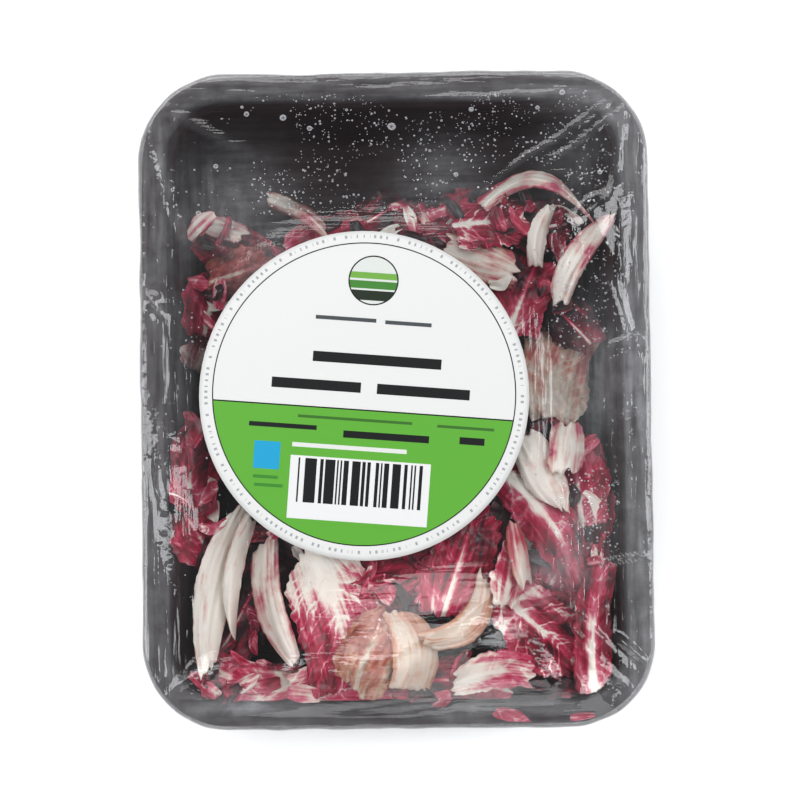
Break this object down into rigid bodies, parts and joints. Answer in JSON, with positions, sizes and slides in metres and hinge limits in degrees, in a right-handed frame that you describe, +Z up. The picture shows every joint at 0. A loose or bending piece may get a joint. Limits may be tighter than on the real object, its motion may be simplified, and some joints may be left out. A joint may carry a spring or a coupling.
{
  "type": "film-wrapped tray of cut radicchio",
  "caption": "Shallow black foam tray of cut radicchio leaves and ribs under clear stretch film, with a round paper label on top; lies flat.",
  "frame": {"origin": "centre of the pack's underside, on the surface it lies on", "axes": "+X across the tray, +Y along its long side, +Z up out of the open tray"},
  "size_m": [0.144, 0.185, 0.0464],
  "materials": {
    "tray_foam": "satin moulded skin of expanded polystyrene foam",
    "stretch_film": "clear glossy stretch film",
    "label_paper": "coated label paper",
    "leaf_red": "waxy leaf blade, burgundy to crimson",
    "leaf_veined": "waxy leaf blade with pale veins",
    "rib_white": "smooth moist white rib",
    "leaf_wilted": "crumpled beige cut leaf"
  },
  "bodies": {
    "root": {"tray": "tray_foam", "large_leaf_01": "leaf_red", "large_leaf_02": "leaf_red", "large_leaf_03": "leaf_red", "large_leaf_04": "leaf_red", "large_leaf_05": "leaf_red", "large_leaf_06": "leaf_red", "large_leaf_07": "leaf_red", "large_leaf_08": "leaf_red", "large_leaf_09": "leaf_red", "large_leaf_10": "leaf_red", "cut_leaf_01": "leaf_red", "cut_leaf_02": "leaf_red", "cut_leaf_03": "leaf_red", "cut_leaf_04": "leaf_red", "cut_leaf_05": "leaf_red", "cut_leaf_06": "leaf_red", "cut_leaf_07": "leaf_red", "cut_leaf_08": "leaf_red", "cut_leaf_09": "leaf_red", "cut_leaf_10": "leaf_red", "cut_leaf_11": "leaf_red", "curled_leaf_01": "leaf_wilted", "cut_leaf_12": "leaf_red", "cut_leaf_13": "leaf_red", "cut_leaf_14": "leaf_red", "cut_leaf_15": "leaf_red", "cut_leaf_16": "leaf_red", "cut_leaf_17": "leaf_red", "cut_leaf_18": "leaf_red", "cut_leaf_19": "leaf_red", "cut_leaf_20": "leaf_red", "cut_leaf_21": "leaf_red", "cut_leaf_22": "leaf_red", "leaf_with_rib_01": "leaf_veined", "leaf_with_rib_02": "leaf_veined", "cut_leaf_23": "leaf_red", "leaf_with_rib_03": "leaf_veined", "leaf_with_rib_04": "leaf_veined", "curled_leaf_02": "leaf_wilted", "cut_rib_01": "rib_white", "cut_rib_02": "rib_white", "cut_leaf_24": "leaf_red", "cut_rib_03": "rib_white", "cut_rib_04": "rib_white", "cut_rib_05": "rib_white", "curled_leaf_03": "leaf_wilted", "cut_leaf_25": "leaf_red", "cut_rib_06": "rib_white", "cut_rib_07": "rib_white", "cut_rib_08": "rib_white", "curled_leaf_04": "leaf_wilted", "cut_rib_09": "rib_white", "cut_rib_10": "rib_white", "cut_leaf_26": "leaf_red", "cut_rib_11": "rib_white", "cut_rib_12": "rib_white", "cut_rib_13": "rib_white", "film": "stretch_film", "label": "label_paper"}
  },
  "joints": []
}
